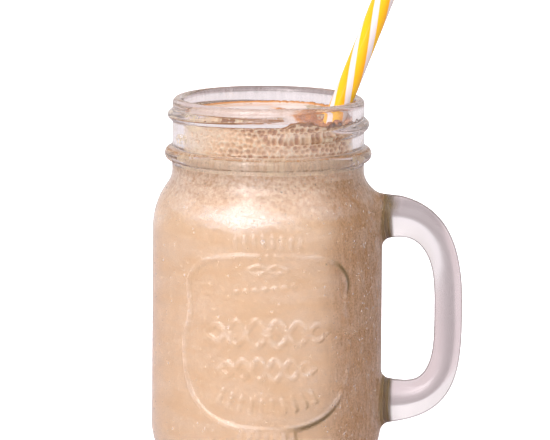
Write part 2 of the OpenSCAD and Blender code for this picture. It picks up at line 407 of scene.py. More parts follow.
def plaque_relief(angle, z):
    """A low round ridge along each curve: height falls with the square of the distance."""
    across = body_r * (np.degrees(angle) - FRONT) * np.pi / 180
    height = np.zeros(np.broadcast(angle, z).shape)
    for curve, half_w in ornament():
        near = np.full(height.shape, 1e9)
        for block in np.array_split(curve, max(1, len(curve) // 40)):
            gap = (across[..., None] - block[:, 0]) ** 2 + (z[..., None] - block[:, 1]) ** 2
            near = np.minimum(near, gap.min(-1))
        height = np.maximum(height, relief_h * np.clip(1 - near / half_w**2, 0, 1))
    return height

# %% [markdown]
# ## The handle
# The handle is pressed in one with the body: half a rounded rectangle in side view, slim at the
# grip and swelling at both roots. A bevelled curve would give it one thickness, so it is a loft:
# rings of a rounded section along the middle line. Near the glass the rings bend to lie on the
# body and widen, which makes the fillet.

# %% Handle as a loft
handle_low, handle_top = 26.2, shoulder_top - 16
handle_z, handle_half = (handle_low + handle_top) / 2, (handle_top - handle_low) / 2
handle_reach = 23.1
grip_t, grip_w, arm_t, arm_w = 9.7, 13.0, 16.2, 15.0
grip_end, swell_power, section_power = 30, 1.8, 0.85
corner_top, corner_low = 2.7, 3.3
root_edge_r, root_side_r = 2.6, 4.2
section_points, line_rings, root_rings, root_gap, line_gap = 40, 64, 9, 4.4, 1.2


def handle_line(angle):
    """Half a superellipse round the handle's centre, squarer at the lower corner."""
    power = np.where(angle > 0, corner_top, corner_low)
    far = ((np.abs(np.cos(angle)) / handle_reach) ** power
           + (np.abs(np.sin(angle)) / handle_half) ** power) ** (-1 / power)
    return body_r + far * np.cos(angle), handle_z + far * np.sin(angle)


foot_row = np.flatnonzero(outside[:, 1] == 0)[-1]


def glass_radius(z, depth=0.0):
    """Radius of the outside at a height above the foot, less a depth into the glass."""
    return np.interp(z, outside[foot_row:, 1], outside[foot_row:, 0]) - depth


def section(spread, flare_t=0.0, flare_w=0.0):
    """A rounded rectangle section: how far out and how far across at each of its points."""
    s = full_turn(section_points)
    half_t = (grip_t + (arm_t - grip_t) * spread) / 2 + flare_t
    half_w = (grip_w + (arm_w - grip_w) * spread) / 2 + flare_w
    rounded = lambda v: np.sign(v) * np.abs(v) ** section_power
    return half_t * rounded(np.cos(s)), half_w * rounded(np.sin(s))


def swell(angle):
    """Thin at the grip, thicker towards the body."""
    return np.maximum(0, (np.degrees(np.abs(angle)) - grip_end) / (90 - grip_end)) ** swell_power


def fillet(gap, radius):
    """How far a round fillet stands out at a gap from the wall that it runs into."""
    near = np.clip(radius - gap, 0, radius)
    return radius - math.sqrt(radius**2 - near**2)


def handle_root(z_middle, sign):
    """Rings that follow the wall at falling distances from it, and end inside the glass."""
    rings = []
    gaps = root_gap * np.linspace(1, 0, root_rings) ** 1.5
    for gap in np.append(gaps, [-wall / 4, -wall / 2]):
        thicker = swell(math.atan2(handle_half, max(gap, 0)))
        out, across = section(thicker, fillet(gap, root_edge_r), fillet(gap, root_side_r))
        z = z_middle + sign * out
        rings.append(np.stack([np.sqrt(glass_radius(z) ** 2 - across**2) + gap, across, z], 1))
    return rings


def handle_rings():
    """All rings from the upper root, round the grip, to the lower root."""
    last = math.atan2(handle_half, root_gap + line_gap)
    rings = []
    for angle in np.linspace(last, -last, line_rings):
        x, z = handle_line(angle)
        along = np.subtract(handle_line(angle - 0.01), handle_line(angle + 0.01))
        along /= np.linalg.norm(along)
        out, across = section(swell(angle))
        rings.append(np.stack([x - along[1] * out, across, z + along[0] * out], 1))
    return np.array(handle_root(handle_top, 1)[::-1] + rings + handle_root(handle_low, -1))

# %% [markdown]
# ## Making the jar
# The grid's columns are close together across the plaque and beside the handle, and wide apart
# elsewhere, which keeps the piece light. A boolean union makes body and handle one skin: two
# skins of clear glass that overlap would show their inner faces.

# %% Jar of pressed glass
plaque_reach = 52


def columns_round():
    """Angles of the grid's columns, in radians: fine in front, medium at the handle."""
    stretches = [(-142, -38, 156), (-38, -16, 8), (-16, 16, 26), (16, 218, 62)]
    return np.radians(np.concatenate([np.linspace(a, b, n, endpoint=False) for a, b, n in stretches]))


def outward(piece):
    """Turns every face to point out of a closed mesh."""
    shape = bmesh.new()
    shape.from_mesh(piece.data)
    bmesh.ops.recalc_face_normals(shape, faces=shape.faces)
    shape.to_mesh(piece.data)
    shape.free()


def union(piece, other):
    """Leaves one skin round both solids and removes the second."""
    step = piece.modifiers.new("join", "BOOLEAN")
    step.operation, step.solver, step.object = "UNION", "EXACT", other
    graph = bpy.context.evaluated_depsgraph_get()
    whole = bpy.data.meshes.new_from_object(piece.evaluated_get(graph))
    piece.modifiers.clear()
    piece.data = whole
    bpy.data.objects.remove(other)


jar_angles = columns_round()
radius = np.repeat(outline[:, :1], len(jar_angles), axis=1)
is_outer = np.arange(len(outline)) < len(outside)
thread_rows = is_outer & (outline[:, 1] > collar_z + collar_r)
body_relief = is_outer & (outline[:, 1] > heel_z - 3) & (outline[:, 1] < outer_shoulder[0][1] + 6)
front_columns = np.abs(np.degrees(jar_angles) - FRONT) < plaque_reach
radius[thread_rows] += thread_relief(jar_angles[None], outline[thread_rows, 1:2])
patch = np.ix_(body_relief, front_columns)
radius[patch] += plaque_relief(*np.broadcast_arrays(jar_angles[front_columns], outline[body_relief, 1:2]))
jar = make_piece("jar_glass", *turned(radius, outline[:, 1], jar_angles))
rings = handle_rings()
handle = make_piece("handle_loft", *closed_skin(rings, [rings[0].mean(0), rings[-1].mean(0)]))
outward(handle)
union(jar, handle)
jar.data.shade_smooth()
print("jar with handle:", len(jar.data.polygons), "faces")

# %% [markdown]
# ## The drink
# A thick milk drink wets the glass, so no air may show between them: the piece reaches a fifth
# of a millimetre into the wall. It is the inside outline, turned, up to the froth.

# %% Milkshake
INTO_WALL = 0.2


def set_out(line, amount):
    """Moves an outline outwards along its own normals by the given amount."""
    ahead = np.gradient(line, axis=0)
    normal = np.stack([ahead[:, 1], -ahead[:, 0]], 1)
    return line + amount * normal / np.linalg.norm(normal, axis=1, keepdims=True)


drink_line = set_out(inside_up[inside_up[:, 1] < froth_z], INTO_WALL)
drink_line[0, 0] = 0
drink_line = joined(drink_line, [(mouth_r + INTO_WALL, froth_z), (mouth_r / 2, froth_z), (0, froth_z)])
round_angles = full_turn(160)
drink = make_piece("milkshake_body", *turned(drink_line[:, 0], drink_line[:, 1], round_angles))

# %% [markdown]
# ## The froth
# Shaken milk holds bubbles of air. Against the glass each is a small round pocket with a cream
# wall, and they crowd until their edges meet. A texture could draw them, but only shape catches
# light as hollows do, so the froth's side is a fine grid pressed in by spheres. Their middles are
# a jittered lattice, so each point only looks at the cells round it.

# %% Bubble field
def bubbles(u, v, spacing, radius_low, radius_high, share, wrap=None, seed=1):
    """Depth of overlapping spheres at each point: the square root of the largest
    (radius squared - distance squared) over the neighbouring spheres, or 0 outside them all."""
    draw = np.random.default_rng(seed)
    size = 512
    offset = draw.uniform(0.22, 0.78, (2, size, size))
    offset[0] += 0.5 * (np.arange(size) % 2)
    ball = draw.uniform(radius_low, radius_high, (size, size))
    ball[draw.uniform(size=(size, size)) > share] = 0
    cell_u, cell_v = np.floor(u / spacing).astype(int), np.floor(v / spacing).astype(int)
    best = np.full(np.shape(u), -1.0)
    for du in (-2, -1, 0, 1):
        for dv in (-1, 0, 1):
            i, j = cell_u + du, cell_v + dv
            a, b = (i % wrap if wrap else i) % size, j % size
            gap = (u - (i + offset[0][a, b]) * spacing) ** 2 + (v - (j + offset[1][a, b]) * spacing) ** 2
            best = np.maximum(best, np.where(ball[a, b] > 0, ball[a, b] ** 2 - gap, -1))
    return np.sqrt(np.maximum(best, 0))


coarse_gap, fine_gap = 1.9, 1.05
coarse_side = np.radians(-55)


def round_wall(angle, z, gap, *sizes, seed):
    """Bubbles on the neck's wall, with a whole number of cells round it so that no seam shows."""
    girth = 2 * np.pi * mouth_r
    cells = round(girth / gap)
    return bubbles(mouth_r * angle, z, girth / cells, *sizes, wrap=cells, seed=seed)


def froth_depth(angle, z):
    """Coarse bubbles in the upper froth on one side, fine ones everywhere between them."""
    coarse = round_wall(angle, z, coarse_gap, 0.85, 1.05, 0.97, seed=3)
    fine = round_wall(angle, z, fine_gap, 0.36, 0.6, 0.93, seed=4)
    up = z - froth_z
    where = smooth_step(0.0, 0.8, np.cos(angle - coarse_side)) * smooth_step(4, 6, up)
    where = where * (0.75 + 0.25 * np.sin(3 * angle + 0.4 * z))
    calm = 0.25 + 0.45 * smooth_step(2, 7, up)
    large = coarse > 0.25 * (1.6 - where)
    return np.where(large, coarse * np.clip(where * 1.4, 0, 1), fine * calm)

# %% [markdown]
# The side is turned like the jar, with its radius pushed in by the bubble depth. It touches the
# wall in some patches and stands a little off it in others, since it is the air against the glass
# that makes a bubble's edge bright.

# %% Froth behind the glass
def surface_level(x, y):
    """Height of the froth's surface: level on the left, and sunk round the straw."""
    sunk = smooth_step(4, 15, x + 0.25 * y) * smooth_step(26, 8, y)
    return fill_z - 1.7 * sunk * smooth_step(33, 24, np.hypot(x, y)) - 1.3 * sunk


froth_columns, froth_rows = 900, 72
foot_lap, bubble_share, air_gap = 0.3, 0.75, 0.05
froth_angles = full_turn(froth_columns)
contact = surface_level(mouth_r * np.cos(froth_angles), mouth_r * np.sin(froth_angles)) + 0.55 * climb
share_up = np.linspace(0, 1, froth_rows)[:, None]
froth_foot = froth_z - foot_lap
froth_heights = froth_foot + share_up * (contact - froth_foot)
depth = froth_depth(froth_angles[None], froth_heights)
sealed = np.maximum(smooth_step(0.04, 0, share_up), smooth_step(0.97, 1, share_up))
patches = np.sin(5 * froth_angles + 0.9 * froth_heights) + np.sin(11 * froth_angles - 0.6 * froth_heights)
air = air_gap * np.clip(patches + 0.7, -0.8, 1)
froth_radius = mouth_r - air - bubble_share * depth * (1 - sealed) + (INTO_WALL + air) * sealed
side_radius = np.vstack([np.zeros(froth_columns), froth_radius, np.zeros(froth_columns)])
side_heights = np.vstack([froth_heights[:1], froth_heights, np.full((1, froth_columns), fill_z - 6)])
froth_side = make_piece("froth_side", *turned(side_radius, side_heights, froth_angles))
paint(froth_side, "bubble", np.append(depth.ravel(), [0, 0]))

# %% [markdown]
# ## How the straw leans
# The straw's toe stands on the floor and its lower side just clears the round of the lip, so its
# lean is the angle up to that round, less the little that its radius takes. A measured lean would
# do for one jar; this one still fits when a size is changed.

# %% Lean of the straw
straw_r, straw_toe, straw_gap_lip = 3.7, 19.5, 0.1
to_lip_x, to_lip_z = neck_r - lip_r + straw_toe, lip_z - floor_z - straw_gap_lip
lip_turn = math.asin((lip_r + straw_gap_lip) / math.hypot(to_lip_x, to_lip_z))
straw_lean = math.atan2(to_lip_x, to_lip_z) - lip_turn
straw_foot_x = -straw_toe - straw_r * math.cos(straw_lean)
straw_foot_z = floor_z + straw_gap_lip + straw_r * math.sin(straw_lean)
print(f"straw leans {math.degrees(straw_lean):.2f} degrees, foot at {straw_foot_x:.1f}, {straw_foot_z:.1f}")

# %% [markdown]
# ## The surface
# From above the head is a disc: glossy and nearly flat where the drink has settled, and domed
# with bubbles round the straw. Its grid is a square one bent onto a circle, so that its cells are
# even in size; a polar grid would crowd them at the middle.

# %% Top of the froth
disc_cells = 190


def disc_grid(count, radius):
    """A square of points bent onto a disc: rings of the square become rings of the circle."""
    s, t = np.meshgrid(np.linspace(-1, 1, count), np.linspace(-1, 1, count), indexing="ij")
    ring = np.maximum(np.abs(s), np.abs(t))
    wide = np.abs(s) >= np.abs(t)
    safe = np.where(ring == 0, 1, ring)
    turn = np.where(wide, t / safe, 2 - s / safe) * np.pi / 4
    turn = np.where(wide & (s < 0), np.pi - t / safe * np.pi / 4, turn)
    turn = np.where(~wide & (t < 0), (6 + s / safe) * np.pi / 4, turn)
    return radius * ring * np.cos(turn), radius * ring * np.sin(turn)


top_x, top_y = disc_grid(disc_cells, mouth_r + INTO_WALL)
straw_at_fill = straw_foot_x + (fill_z - straw_foot_z) * math.tan(straw_lean)
edge_gap = mouth_r - np.hypot(top_x, top_y)
straw_gap = np.hypot((top_x - straw_at_fill) * math.cos(straw_lean), top_y) - straw_r
dome_share = smooth_step(2, 10, top_x + 0.25 * top_y) * smooth_step(22, 12, top_y)
large = bubbles(top_x, top_y, 2.4, 0.8, 1.5, 0.8, seed=11)
small = bubbles(top_x, top_y, 1.1, 0.3, 0.62, 0.8, seed=12)
rim_share = smooth_step(2.2, 0.4, edge_gap) * smooth_step(-20, 10, top_x)
dome = np.where(large > 0.3, large, 0.6 * small) * np.maximum(dome_share, 0.25 * rim_share)
wall_climb = climb * np.exp(-np.maximum(edge_gap, 0) / 0.7)
straw_climb = 0.8 * np.exp(-np.maximum(straw_gap, 0) / 0.8)
top_z = surface_level(top_x, top_y) + dome + wall_climb + straw_climb
print(f"surface from {top_z.min():.2f} to {top_z.max():.2f}")


def lid(x, y, z, below):
    """A closed slab: the given surface, an edge that slants in, and a flat underside."""
    count = len(x)
    top = np.stack([x, y, z], -1).reshape(-1, 3)
    base = np.stack([0.9 * x, 0.9 * y, np.full_like(z, below)], -1).reshape(-1, 3)
    i, j = np.meshgrid(np.arange(count - 1), np.arange(count - 1), indexing="ij")
    a = (i * count + j).ravel()
    quads = np.stack([a, a + count, a + count + 1, a + 1], -1)
    side = np.arange(count)
    rim = np.concatenate([side[:-1] * count, (count - 1) * count + side[:-1],
                          (side[::-1] * count + count - 1)[:-1], side[::-1][:-1]])
    beyond = np.roll(rim, -1)
    total = len(top)
    edge = np.stack([rim, rim + total, beyond + total, beyond], -1)
    return np.vstack([top, base]), [quads, quads[:, ::-1] + total, edge]


froth_top = make_piece("froth_top", *lid(top_x, top_y, top_z, fill_z - 6.2))
outward(froth_top)
# Painted shade on the surface: in the dip round the straw, deeper among the domes, and in a line along the
# glass.
brown = np.maximum(0.35 * dome_share + 0.5 * dome, 0.45 * smooth_step(1.0, 0.3, edge_gap))
paint(froth_top, "bubble", np.append(brown.ravel(), np.zeros(dome.size)))

# %% [markdown]
# ## The straw
# A reusable straw is an extruded tube with its stripes run in, twisted as it was drawn. It is
# made as a closed loop of rings: up the outside, over a rounded end, and down the bore. Its UV
# map holds how far round and how far along each point lies, for the stripes.

# %% Striped straw
straw_bore_r = straw_r - 0.6
straw_l = 210.0
end_round = 0.25


def straw_profile():
    """Radius and length along the tube: outside, rounded top, bore, rounded foot."""
    outer, inner = straw_r - end_round, straw_bore_r + end_round
    foot, top = end_round, straw_l - end_round
    return joined(
        arc((outer, foot), end_round, 270, 360, 5),
        np.linspace((straw_r, foot), (straw_r, top), 90),
        arc((outer, top), end_round, 0, 90, 5),
        arc((inner, top), end_round, 90, 180, 5),
        np.linspace((straw_bore_r, top), (straw_bore_r, foot), 40),
        arc((inner, foot), end_round, 180, 270, 5),
    )


straw_line = straw_profile()
straw_sides = 48
tube = turned_rings(*straw_line.T, full_turn(straw_sides)).reshape(-1, 3)
lean = np.array(Matrix.Rotation(straw_lean, 3, "Y"))
tube = tube @ lean.T + [straw_foot_x, 0, straw_foot_z]
rows = len(straw_line)
tube_faces = grid_faces(rows, straw_sides)
closing = grid_faces(2, straw_sides)
closing = np.where(closing < straw_sides, closing + (rows - 1) * straw_sides, closing - straw_sides)
straw = make_piece("straw_tube", tube, [tube_faces, closing])


def straw_uv(piece):
    """U is turns round the tube, V is metres along it; the seam's far corners get U = 1."""
    mesh = piece.data
    corner = np.zeros(len(mesh.loops), np.int32)
    mesh.loops.foreach_get("vertex_index", corner)
    around, along = (corner % straw_sides) / straw_sides, straw_line[corner // straw_sides, 1] * MM
    start = np.zeros(len(mesh.polygons), np.int32)
    mesh.polygons.foreach_get("loop_start", start)
    block = around[start[:, None] + np.arange(4)]
    block[(block.max(1) > 0.75)[:, None] & (block < 0.25)] += 1
    layer = mesh.uv_layers.new(name="UVMap")
    layer.data.foreach_set("uv", np.stack([block.ravel(), along], -1).astype(np.float32).ravel())


straw_uv(straw)

# %% [markdown]
# ## Condensation
# A cold drink in warm air is covered in dew. Drops too small to see one by one are a veil in the
# glass material. Those that can be seen are real shape: flat domes of clear water in one mesh.
# Particles would not survive an export, so the domes are copied with array sums.

# %% Dew drops
rng = np.random.default_rng(7)
drop_count = 2600
drop_sides, drop_levels, off_glass = 8, 3, 0.01


def drop_places(count):
    """Random angles and heights on the outside, thicker on the shoulder and the handle side."""
    angle = rng.uniform(-np.pi, np.pi, 6 * count)
    z = rng.uniform(10, shoulder_top + 3, 6 * count)
    high = smooth_step(shoulder_top - 29, shoulder_top - 12, z)
    liking = 0.3 + 0.25 * high + 0.7 * smooth_step(0.3, 0.8, np.cos(angle))
    chosen = rng.uniform(0, 1.25, 6 * count) < liking
    clear = (np.abs(angle) > 0.24) | (z > shoulder_top)
    pick = np.flatnonzero(chosen & clear)[:count]
    return angle[pick], z[pick]


def outer_normal(z):
    """Outward and upward parts of the outside's normal: 1 and minus the slope, made unit long."""
    slope = (glass_radius(z + 0.1) - glass_radius(z - 0.1)) / 0.2
    return 1 / np.hypot(1, slope), -slope / np.hypot(1, slope)


def unit_dome():
    """A dome of unit size: rings that climb from its edge, its tip, and the middle of its foot."""
    level = np.linspace(0, 1, drop_levels + 1)[:-1, None] * np.pi / 2
    spin = full_turn(drop_sides)
    parts = np.cos(level) * np.cos(spin), np.cos(level) * np.sin(spin), np.sin(level)
    return np.vstack([np.stack(np.broadcast_arrays(*parts), -1).reshape(-1, 3), [(0, 0, 1), (0, 0, 0)]])


def dew():
    """Point = base + the dome's three parts times the drop's sizes, along side, above and normal."""
    angle, z = drop_places(drop_count)
    count = len(angle)
    size = np.clip(rng.lognormal(-1.9, 0.45, count), 0.09, 0.7)
    tall = size * rng.uniform(0.2, 0.32, count)
    out, up = outer_normal(z)
    on_plaque = np.abs(np.degrees(angle) - FRONT) < plaque_reach
    reach = glass_radius(z) + np.where(on_plaque, plaque_relief(angle, z), 0)
    normal = np.stack([out * np.cos(angle), out * np.sin(angle), up], -1)
    side = np.stack([-np.sin(angle), np.cos(angle), np.zeros(count)], -1)
    axes = np.stack([side, np.cross(normal, side), normal], 1)
    base = np.stack([reach * np.cos(angle), reach * np.sin(angle), z], -1) + off_glass * normal
    one = unit_dome()
    points = base[:, None] + np.einsum("mk,nk,nkj->nmj", one, np.stack([size, size, tall], -1), axes)
    rings = drop_levels * drop_sides
    pattern = [grid_faces(drop_levels, drop_sides),
               fan_faces(rings - drop_sides, drop_sides, rings, opens=False),
               fan_faces(0, drop_sides, rings + 1)]
    first = np.arange(count)[:, None, None] * len(one)
    return points.reshape(-1, 3), [(part[None] + first).reshape(-1, part.shape[1]) for part in pattern]


drops = make_piece("dew_drops", *dew())
outward(drops)

# %% [markdown]
# ## Dew too fine to see, and painted light and shade
# Such dew scatters light like a thin white veil, whiter as a painted highlight on the shoulder and
# on the relief's ridges. Beside the handle, in the collar's creases and at the ridges' feet a brown
# film of painted shade darkens it, and at the handle's roots olive bands of painted shade stand for
# the drink that thick glass bends into view. A painted texture could place all this; numbers stored
# at the points need no image and follow the relief exactly.

# %% Where the glass is misted
handle_from = body_r + 1.2


def painted_side_shade(angle, z, reach):
    """Painted shade on the handle's side of the body, in runs like dew, which fades over the shoulder and
    round the back.
    """
    first, full = np.cos(np.radians([65, 42]))
    shade_film = smooth_step(first, full, np.cos(angle) + 0.02 * np.sin(0.4 * z))
    shade_film = shade_film * (reach < handle_from) * smooth_step(shoulder_top + 7, shoulder_top - 6, z)
    return shade_film * smooth_step(60, 12, np.degrees(angle))


def painted_neck_shade(z, reach):
    """Painted shade: faint on the neck, and stronger on the collar, its edges, the fold under it and the
    lip.
    """
    shade_film = 0.15 * smooth_step(shoulder_top + 2, shoulder_top + 7, z)
    shade_film = shade_film + 0.4 * smooth_step(3.2, 2.2, np.abs(z - collar_z))
    shade_film = shade_film + 0.5 * bell(z, shoulder_top + 1.3, 0.9)
    shade_film = shade_film + 0.35 * smooth_step(lip_z - 1.5, lip_z + 0.5, z)
    edges = bell(z, collar_z + 1.9, 0.4) + 0.8 * bell(z, collar_z - 1.7, 0.35)
    return np.maximum(shade_film, 1.5 * edges * (reach > neck_r + 0.3))


def painted_root_bands(angle, z, reach):
    """Painted shade in olive bands round the handle's roots, for the drink that thick glass bends into
    view; they fade outwards along the handle.
    """
    out = reach - body_r
    near = smooth_step(0.1, 0.7, out) * smooth_step(4.2, 3.2, out)
    bands = 0.6 + 0.25 * np.cos(2 * np.pi * (out - 0.9) / 1.9)
    return near * bands * (np.abs(np.degrees(angle)) < 30) * (z < shoulder_top)


def relief_shades(angle, z, outer):
    """Relief at each point, the shade at a ridge's foot, and the shade that lies beyond it."""
    front = outer & (np.abs(np.degrees(angle) - FRONT) < plaque_reach)
    front = front & (z > heel_z - 3) & (z < shoulder_top - 12)
    raised, foot, beyond = np.zeros((3, len(z)))
    a, h = angle[front], z[front]
    raised[front] = plaque_relief(a, h) / relief_h
    foot[front] = np.clip(plaque_relief(a - 0.8 / body_r, h + 0.6) / relief_h - raised[front], 0, 1)
    beyond[front] = plaque_relief(a - 1.3 / body_r, h + 0.2) / relief_h
    return raised, foot, beyond


def mist_on(piece):
    """Stores for each point, on the outside only, its mist and painted highlight, its dew and painted
    shade, its painted root shade and frost.
    """
    points = np.zeros(len(piece.data.vertices) * 3, np.float32)
    piece.data.vertices.foreach_get("co", points)
    x, y, z = points.reshape(-1, 3).T / MM
    reach, angle = np.hypot(x, y), np.arctan2(y, x)
    outer = reach > glass_radius(z, 0.4 * wall)
    on_handle = reach > handle_from
    round_front = np.degrees(angle) - FRONT
    raised, foot, beyond = relief_shades(angle, z, outer)

    # Mist all over, whiter in a band round the shoulder towards the front left and on the relief's ridges:
    # a painted highlight where the light falls.
    up = z - shoulder_top
    shoulder_band = smooth_step(-18, -13, up) * smooth_step(-5, -11, up)
    mist_and_painted_highlight = 0.15 + (0.08 + 0.4 * bell(round_front, -16, 28)) * shoulder_band
    mist_and_painted_highlight = np.where(on_handle, 0.05, mist_and_painted_highlight) + 0.2 * raised
    paint(piece, "mist_and_painted_highlight", np.clip(mist_and_painted_highlight, 0, 1) * outer)

    # Painted shadow along each ridge's lower right foot, darker towards the right side, where less light
    # falls.
    edge = foot * (0.3 + 0.9 * smooth_step(18, 36, round_front))
    shade_film = np.maximum.reduce([painted_side_shade(angle, z, reach), edge, painted_neck_shade(z, reach)])
    paint(piece, "dew_and_painted_shade", shade_film * outer)

    # Painted dark lines beside the ridges at the plaque's right shoulder and foot, for the shade that the
    # relief bends in.
    upper_accent = smooth_step(28, 38, round_front) * smooth_step(7, 3, np.abs(z - plaque_top + 8))
    lower_accent = smooth_step(6, 22, round_front) * smooth_step(12, 4, z - plaque_low)
    accent = 0.9 * np.maximum(upper_accent, lower_accent) * np.maximum(foot, beyond)
    paint(piece, "root", np.maximum(painted_root_bands(angle, z, reach), accent) * outer)

    paint(piece, "handle", on_handle)
    frost = np.where(on_handle, 0.2, 0.05 + 0.15 * shoulder_band)
    paint(piece, "frost", frost * outer * (z < shoulder_top))
    print(f"mist on {outer.sum()} of {len(z)} points")


mist_on(jar)

# %% [markdown]
# ## Glass
# Pressed soda-lime glass is clear, with a refractive index of 1.5 and faint waves from the mould.
# The veil, with its painted highlight, and the films of painted shade are thin matt layers over
# it. Where the glass is seen along its surface, a painted dark line closes it off, darker on the handle.

# %% Pressed soda-lime glass, misted
glass, tree = new_material("pressed_soda_lime_glass")
place = add(tree, "TexCoord").outputs["Object"]


def stretched(vector, upright):
    """Coordinates scaled along Z, which flattens or lengthens a noise."""
    return add(tree, "VectorMath", {"operation": "MULTIPLY"}, i0=vector, i1=(1, 1, upright)).outputs[0]


def over(share, under, code):
    """A matt layer of one colour over a shader, by the given share."""
    layer = add(tree, "BsdfDiffuse", Color=code)
    return add(tree, "MixShader", i0=share, i1=under, i2=layer.outputs[0]).outputs[0]


mould_waves = add(tree, "Bump", Height=noise(tree, place, 140.0, 1.0), Strength=0.12, Distance=0.0004)
clear = add(tree, "BsdfPrincipled", Base__Color="#FBF6F6", Roughness=painted(tree, "frost"),
            IOR=1.5, Transmission__Weight=1.0, Normal=mould_waves.outputs["Normal"])

speck = noise(tree, place, 1500.0, 2.0, 0.7)
cloud = noise(tree, stretched(place, 3.0), 55.0, 4.0, 0.65)
speckled = scaled(tree, speck, 0.35, 0.65, 0.6, 1.5, smooth=False)
cloudy = scaled(tree, cloud, 0.38, 0.62, 0.15, 1.6, smooth=False)
# The white veil of dew, with the painted highlight on the shoulder and the ridges.
veil_and_highlight = reckon(tree, "MULTIPLY", painted(tree, "mist_and_painted_highlight"), speckled)
veil_and_highlight = reckon(tree, "MULTIPLY", reckon(tree, "MULTIPLY", veil_and_highlight, cloudy), 0.3)

runs = noise(tree, stretched(place, 0.3), 520.0, 2.0, 0.7)
beads = scaled(tree, reckon(tree, "MULTIPLY_ADD", runs, 0.8, speck), 0.7, 1.1, 0.62, 0.12, smooth=False)
# A brown film of painted shade, broken into runs like dew.
shade_film = reckon(tree, "MULTIPLY", painted(tree, "dew_and_painted_shade"), beads)

# A painted dark line where the glass is seen edge on, stronger all over the handle.
grazing = add(tree, "LayerWeight", Blend=0.5).outputs["Facing"]
grazing = reckon(tree, "MULTIPLY_ADD", painted(tree, "handle"), 0.22, grazing)
painted_edge_shade = scaled(tree, grazing, 0.86, 0.98, 0.0, 0.55)

look = over(veil_and_highlight, clear.outputs[0], "#FFFFFF")
look = over(shade_film, look, "#916638")
# Olive painted shade at the handle's roots and by the ridges.
look = over(painted(tree, "root"), look, "#6B5B40")
look = over(painted_edge_shade, look, "#6E5F5E")
show(tree, look)
jar.data.materials.clear()
jar.data.materials.append(glass)

# %% [markdown]
# ## Milk drink
# The milkshake is an emulsion: opaque, softly glossy, pinkish tan. Fine bubbles just under the
# froth mottle it, so two tones are mixed by noise in the upper part.

# %% Thick milk emulsion
milk, tree = new_material("thick_milk_emulsion")
place = add(tree, "TexCoord").outputs["Object"]
height = add(tree, "SeparateXYZ", i0=place).outputs["Z"]
upper = scaled(tree, height, (shoulder_top - 21) * MM, (shoulder_top - 3) * MM)
mottle = noise(tree, place, 650.0, 5.0, 0.75)
mottled = ramp(tree, mottle, [(0.38, "#CCA47B"), (0.62, "#F6E2C6")])
tint = add(tree, "Mix", {"data_type": "RGBA"}, i0=upper, i6="#F0D2AA", i7=mottled)
show_skin(tree, tint.outputs[2], 0.35, 1.36)
drink.data.materials.append(milk)

# %% [markdown]
# ## Milk froth
# A bubble's wall is thin milk, cream where walls meet, and darker deeper in the pocket as painted
# shade. The settled surface is wetter and smoother, with painted shade in the dip round the straw,
# among its bubbles and along the glass. The side takes its colour from the depth stored at each point
# and the top from its stored shade, so colour and shape can't slip apart.

# %% Froth behind the glass, and the settled surface
def froth_material(name, stops, roughness):
    """Froth coloured by the number each point holds, darker as painted shade where it is higher, with the
    wet skin of milk.
    """
    material, tree = new_material(name)
    show_skin(tree, ramp(tree, painted(tree, "bubble"), stops), roughness, 1.36)
    return material


froth_side.data.materials.append(
    froth_material("milk_froth", [(0.0, "#FFF1D2"), (0.3, "#FADCB0"), (0.95, "#BD8A5C")], 0.12))
froth_top.data.materials.append(
    froth_material("settled_froth_surface", [(0.0, "#CFBFB5"), (0.3, "#BD8450"), (0.9, "#8C5226")], 0.05))

# %% [markdown]
# ## Striped plastic
# The straw is hard polypropylene, glossy as extruded, with yellow stripes run in beside white.
# One stripe drifts round the tube by a full turn in 90 mm, so a stripe's place is the turn round
# the tube plus that twist times the length.

# %% Striped polypropylene
stripes, twist_length, first_stripe = 4.0, 0.090, 0.787
plastic, tree = new_material("striped_polypropylene")
uv = add(tree, "SeparateXYZ", i0=add(tree, "TexCoord").outputs["UV"])
twisted = reckon(tree, "MULTIPLY_ADD", uv.outputs["Y"], 1 / twist_length, uv.outputs["X"])
phase = reckon(tree, "MULTIPLY_ADD", twisted, stripes, first_stripe)
phase = add(tree, "Math", {"operation": "FRACT"}, i0=phase).outputs[0]
white, yellow, deep = "#DAD2D0", "#EAB600", "#F0A400"
bands = ramp(tree, phase, [(0.0, white), (0.21, white), (0.24, yellow), (0.5, yellow),
                           (0.83, deep), (0.86, white)])
show_skin(tree, bands, 0.14, 1.49)
straw.data.materials.append(plastic)

# %% [markdown]
# ## Water
# A drop of dew is clean water: no colour, a refractive index of 1.33, and a surface that tension
# keeps perfectly smooth, so each drop shows a bright point and a dark edge.

# %% Dew water
water, tree = new_material("dew_water")
show_skin(tree, "#FFFFFF", 0.0, 1.33, Transmission__Weight=1.0)
drops.data.materials.append(water)

# %% [markdown]
# ## Joining the frame
# Each piece rides on the one rigid body and stands for a part of the engineering model, whose
# own mesh it hides.

# %% Ride and replace
for piece, node in ((jar, "jar"), (drops, "jar"), (drink, "milkshake"), (froth_side, "froth"),
                    (froth_top, "froth"), (straw, "straw")):
    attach(piece, "root")
    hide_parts(node)

# %% [markdown]
# ## Floor
# The jar stands on a white paper sweep, evenly bright when it is seen directly. Clear glass shows
# only what it bends and mirrors, so there the paper glows with painted light: dimmer near the jar,
# as a painted shadow of it, brighter to the left, in front and far away. Only a ray straight from
# the camera gets the plain paper.

# %% White paper sweep
floor_points = np.array([(-1, -1, 0), (1, -1, 0), (1, 1, 0), (-1, 1, 0)], float) * 9000
floor = make_piece("floor", floor_points, [np.array([[0, 1, 2, 3]])])
paper, tree = new_material("white_paper_sweep")
matt = add(tree, "BsdfDiffuse", Color="#F8F6F8")
lift = add(tree, "Emission", Color="#FFFFFF", Strength=0.6)
plain = add(tree, "AddShader", i0=matt.outputs[0], i1=lift.outputs[0])

